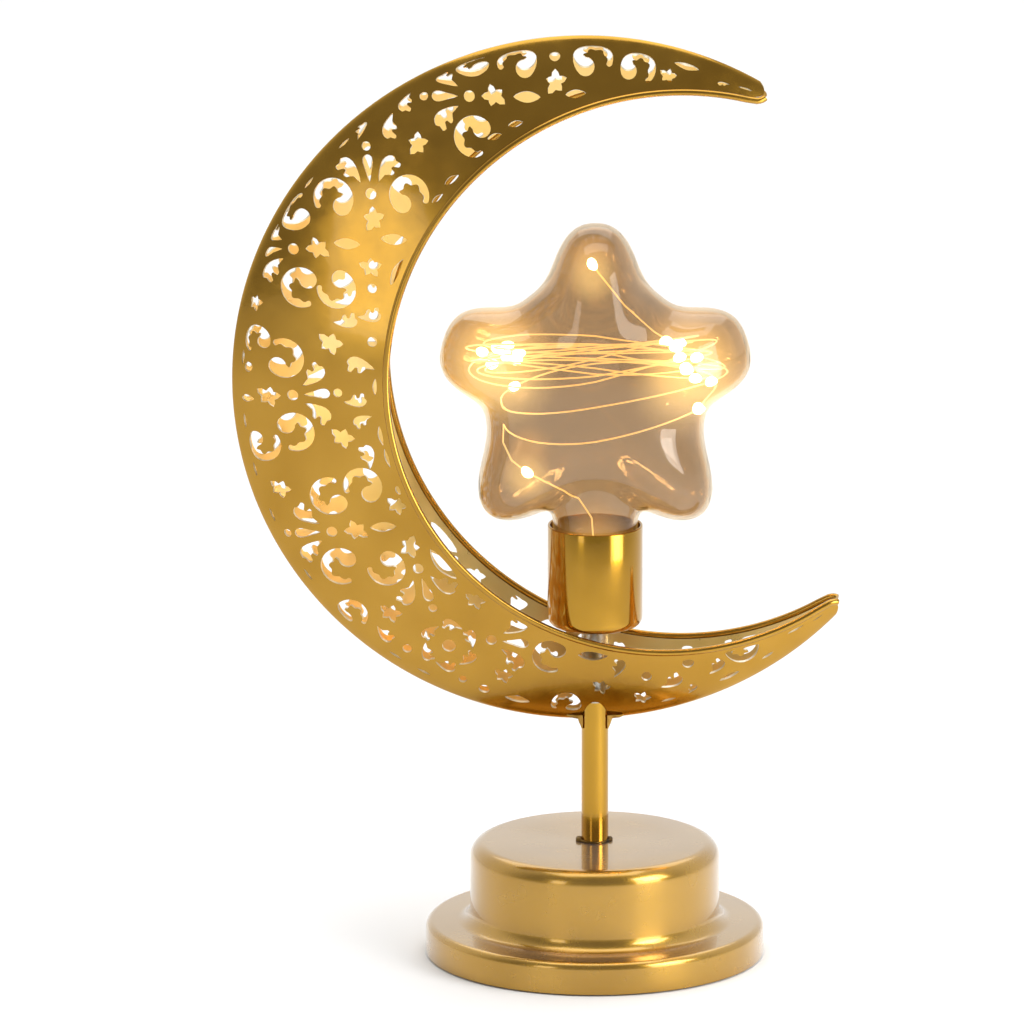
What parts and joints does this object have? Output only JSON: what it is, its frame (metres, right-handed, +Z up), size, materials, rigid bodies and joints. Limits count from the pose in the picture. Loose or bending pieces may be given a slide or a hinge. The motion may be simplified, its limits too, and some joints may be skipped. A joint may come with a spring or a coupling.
{
  "type": "moon and star light",
  "caption": "Table light: a pierced crescent on a stemmed, stepped round base, with a star-shaped glass bulb holding a wound light string.",
  "frame": {"origin": "middle of the bounding box at the foot's underside, on the surface that the light stands on", "axes": "+Z up; +X toward the side where the crescent's horns end; -Y toward the front, which is the pictured side"},
  "size_m": [0.1792, 0.1, 0.2785],
  "materials": {
    "gold_lacquer": "gloss",
    "amber_glass": "gloss",
    "copper_wire": "satin",
    "contact_brass": "satin",
    "nickel_plate": "satin",
    "black_plastic": "matte",
    "white_plastic": "satin",
    "foot_rubber": "matte",
    "battery_jacket": "gloss",
    "circuit_board": "satin",
    "red_lead": "satin",
    "black_lead": "satin"
  },
  "bodies": {
    "lamp": {"base_shell": "gold_lacquer", "foot_ring": "foot_rubber", "battery_tray": "black_plastic", "door_hinge_pin": "nickel_plate", "battery_1": "battery_jacket", "battery_2": "battery_jacket", "battery_3": "battery_jacket", "contact_negative": "nickel_plate", "contact_bridge_front": "nickel_plate", "contact_bridge_back": "nickel_plate", "contact_positive": "nickel_plate", "screw_post_1": "nickel_plate", "screw_post_2": "nickel_plate", "screw_post_3": "nickel_plate", "tray_screw_1": "nickel_plate", "tray_screw_2": "nickel_plate", "tray_screw_3": "nickel_plate", "switch_body": "nickel_plate", "board_screw_left": "nickel_plate", "board_screw_right": "nickel_plate", "control_board": "circuit_board", "battery_lead_red": "red_lead", "battery_lead_black": "black_lead", "stem_tube": "gold_lacquer", "stem_foot_weld": "gold_lacquer", "supply_lead_red": "red_lead", "supply_lead_black": "black_lead", "moon_weld_left": "gold_lacquer", "moon_weld_right": "gold_lacquer", "moon_front_shell": "gold_lacquer", "moon_back_shell": "gold_lacquer", "moon_rim_front": "gold_lacquer", "moon_rim_back": "gold_lacquer", "socket_sleeve": "gold_lacquer", "stem_nut": "nickel_plate", "socket_insert": "white_plastic", "socket_shell_contact": "contact_brass", "socket_center_contact": "contact_brass"},
    "door": {"battery_door": "black_plastic"},
    "knob": {"switch_knob": "black_plastic"},
    "gasket": {"bulb_gasket": "foot_rubber"},
    "bulb": {"bulb_cap": "nickel_plate", "bulb_cap_contact": "contact_brass", "bulb_glass": "amber_glass", "led_string": "copper_wire"}
  },
  "joints": [
    {"name": "bulb_turn", "type": "hinge", "parent": "lamp", "child": "gasket", "pos_m": [0.01726, 0, 0.12], "axis": [0, 0, 1], "range_deg": [0, 1440]},
    {"name": "bulb_lift", "type": "slide", "parent": "gasket", "child": "bulb", "axis": [0, 0, 1], "range_m": [0, 0.0113]},
    {"name": "battery_door_hinge", "type": "hinge", "parent": "lamp", "child": "door", "pos_m": [0.01726, 0.0299, 0.0029], "axis": [1, 0, 0], "range_deg": [0, 95]},
    {"name": "switch_slide", "type": "slide", "parent": "lamp", "child": "knob", "axis": [0, 1, 0], "range_m": [0, 0.004]}
  ],
  "couplings": [
    {"joint": "bulb_lift", "follows": "bulb_turn", "m_per_rad": 0.00044882}
  ]
}
